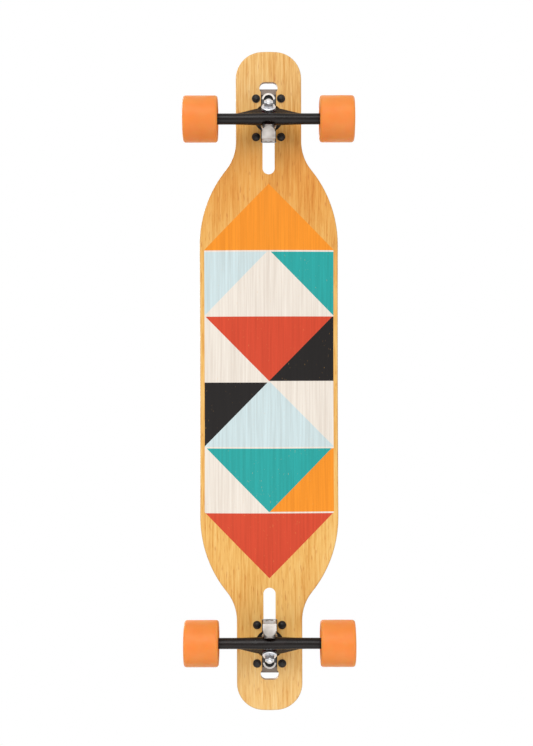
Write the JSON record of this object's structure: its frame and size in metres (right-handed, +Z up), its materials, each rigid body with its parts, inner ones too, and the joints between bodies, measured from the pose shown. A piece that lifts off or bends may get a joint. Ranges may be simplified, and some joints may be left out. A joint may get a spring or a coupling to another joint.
{
  "type": "longboard skateboard",
  "caption": "Drop-through longboard: cambered bamboo deck with wheel cut-outs, reverse-kingpin trucks that steer on bushings, and free-spinning urethane wheels on ball bearings.",
  "frame": {"origin": "on the ground, under the middle of the deck", "axes": "+X towards the nose, +Y towards the left edge, +Z up from the ground"},
  "size_m": [1.087, 0.276, 0.1188],
  "materials": {
    "bamboo": "clear satin lacquer",
    "grip": "coarse abrasive sheet",
    "black_steel": "black oxide",
    "cast_aluminium": "tumbled casting",
    "black_aluminium": "black powder coat",
    "zinc_steel": "bright zinc plate",
    "bearing_steel": "polished",
    "dark_urethane": "cast urethane",
    "orange_urethane": "cast urethane, satin",
    "black_nylon": "moulded"
  },
  "bodies": {
    "board": {"deck": "bamboo", "grip_tape": "grip", "mounting_bolts": "black_steel", "mounting_washers": "black_steel", "mounting_lock_nuts": "black_steel", "front_baseplate": "cast_aluminium", "front_pivot_cup": "dark_urethane", "front_kingpin": "zinc_steel", "front_boardside_bushing": "dark_urethane", "front_roadside_bushing": "dark_urethane", "front_boardside_washer": "zinc_steel", "front_roadside_washer": "zinc_steel", "front_kingpin_nut": "zinc_steel", "rear_baseplate": "cast_aluminium", "rear_pivot_cup": "dark_urethane", "rear_kingpin": "zinc_steel", "rear_boardside_bushing": "dark_urethane", "rear_roadside_bushing": "dark_urethane", "rear_boardside_washer": "zinc_steel", "rear_roadside_washer": "zinc_steel", "rear_kingpin_nut": "zinc_steel"},
    "front_hanger": {"front_hanger": "black_aluminium", "front_axle": "zinc_steel", "front_axle_nuts": "zinc_steel", "front_speed_washers": "zinc_steel", "front_left_bearing_inner_races": "bearing_steel", "front_left_bearing_spacer": "zinc_steel", "front_right_bearing_inner_races": "bearing_steel", "front_right_bearing_spacer": "zinc_steel"},
    "front_left_wheel": {"front_left_tyre": "orange_urethane", "front_left_core": "black_nylon", "front_left_bearing_outer_races": "bearing_steel", "front_left_bearing_shields": "bearing_steel"},
    "front_left_balls": {"front_left_bearing_balls": "bearing_steel"},
    "front_right_wheel": {"front_right_tyre": "orange_urethane", "front_right_core": "black_nylon", "front_right_bearing_outer_races": "bearing_steel", "front_right_bearing_shields": "bearing_steel"},
    "front_right_balls": {"front_right_bearing_balls": "bearing_steel"},
    "rear_hanger": {"rear_hanger": "black_aluminium", "rear_axle": "zinc_steel", "rear_axle_nuts": "zinc_steel", "rear_speed_washers": "zinc_steel", "rear_left_bearing_inner_races": "bearing_steel", "rear_left_bearing_spacer": "zinc_steel", "rear_right_bearing_inner_races": "bearing_steel", "rear_right_bearing_spacer": "zinc_steel"},
    "rear_left_wheel": {"rear_left_tyre": "orange_urethane", "rear_left_core": "black_nylon", "rear_left_bearing_outer_races": "bearing_steel", "rear_left_bearing_shields": "bearing_steel"},
    "rear_left_balls": {"rear_left_bearing_balls": "bearing_steel"},
    "rear_right_wheel": {"rear_right_tyre": "orange_urethane", "rear_right_core": "black_nylon", "rear_right_bearing_outer_races": "bearing_steel", "rear_right_bearing_shields": "bearing_steel"},
    "rear_right_balls": {"rear_right_bearing_balls": "bearing_steel"}
  },
  "joints": [
    {"name": "front_steer", "type": "hinge", "parent": "board", "child": "front_hanger", "pos_m": [0.4184, 0, 0.04136], "axis": [0.6428, 0, 0.766], "range_deg": [-20, 20], "stiffness_Nm_per_rad": 60, "deforming": ["front_boardside_bushing", "front_roadside_bushing"]},
    {"name": "front_left_wheel_spin", "type": "hinge", "parent": "front_hanger", "child": "front_left_wheel", "pos_m": [0.423, 0, 0.0375], "axis": [0, 1, 0], "continuous": true},
    {"name": "front_left_balls_spin", "type": "hinge", "parent": "front_hanger", "child": "front_left_balls", "pos_m": [0.423, 0, 0.0375], "axis": [0, 1, 0], "continuous": true},
    {"name": "front_right_wheel_spin", "type": "hinge", "parent": "front_hanger", "child": "front_right_wheel", "pos_m": [0.423, 0, 0.0375], "axis": [0, 1, 0], "continuous": true},
    {"name": "front_right_balls_spin", "type": "hinge", "parent": "front_hanger", "child": "front_right_balls", "pos_m": [0.423, 0, 0.0375], "axis": [0, 1, 0], "continuous": true},
    {"name": "rear_steer", "type": "hinge", "parent": "board", "child": "rear_hanger", "pos_m": [-0.4184, 0, 0.04136], "axis": [-0.6428, 0, 0.766], "range_deg": [-20, 20], "stiffness_Nm_per_rad": 60, "deforming": ["rear_boardside_bushing", "rear_roadside_bushing"]},
    {"name": "rear_left_wheel_spin", "type": "hinge", "parent": "rear_hanger", "child": "rear_left_wheel", "pos_m": [-0.423, 0, 0.0375], "axis": [0, 1, 0], "continuous": true},
    {"name": "rear_left_balls_spin", "type": "hinge", "parent": "rear_hanger", "child": "rear_left_balls", "pos_m": [-0.423, 0, 0.0375], "axis": [0, 1, 0], "continuous": true},
    {"name": "rear_right_wheel_spin", "type": "hinge", "parent": "rear_hanger", "child": "rear_right_wheel", "pos_m": [-0.423, 0, 0.0375], "axis": [0, 1, 0], "continuous": true},
    {"name": "rear_right_balls_spin", "type": "hinge", "parent": "rear_hanger", "child": "rear_right_balls", "pos_m": [-0.423, 0, 0.0375], "axis": [0, 1, 0], "continuous": true}
  ],
  "couplings": [
    {"joint": "front_left_balls_spin", "follows": "front_left_wheel_spin", "ratio": 0.61667},
    {"joint": "front_right_balls_spin", "follows": "front_right_wheel_spin", "ratio": 0.61667},
    {"joint": "rear_left_balls_spin", "follows": "rear_left_wheel_spin", "ratio": 0.61667},
    {"joint": "rear_right_balls_spin", "follows": "rear_right_wheel_spin", "ratio": 0.61667}
  ]
}
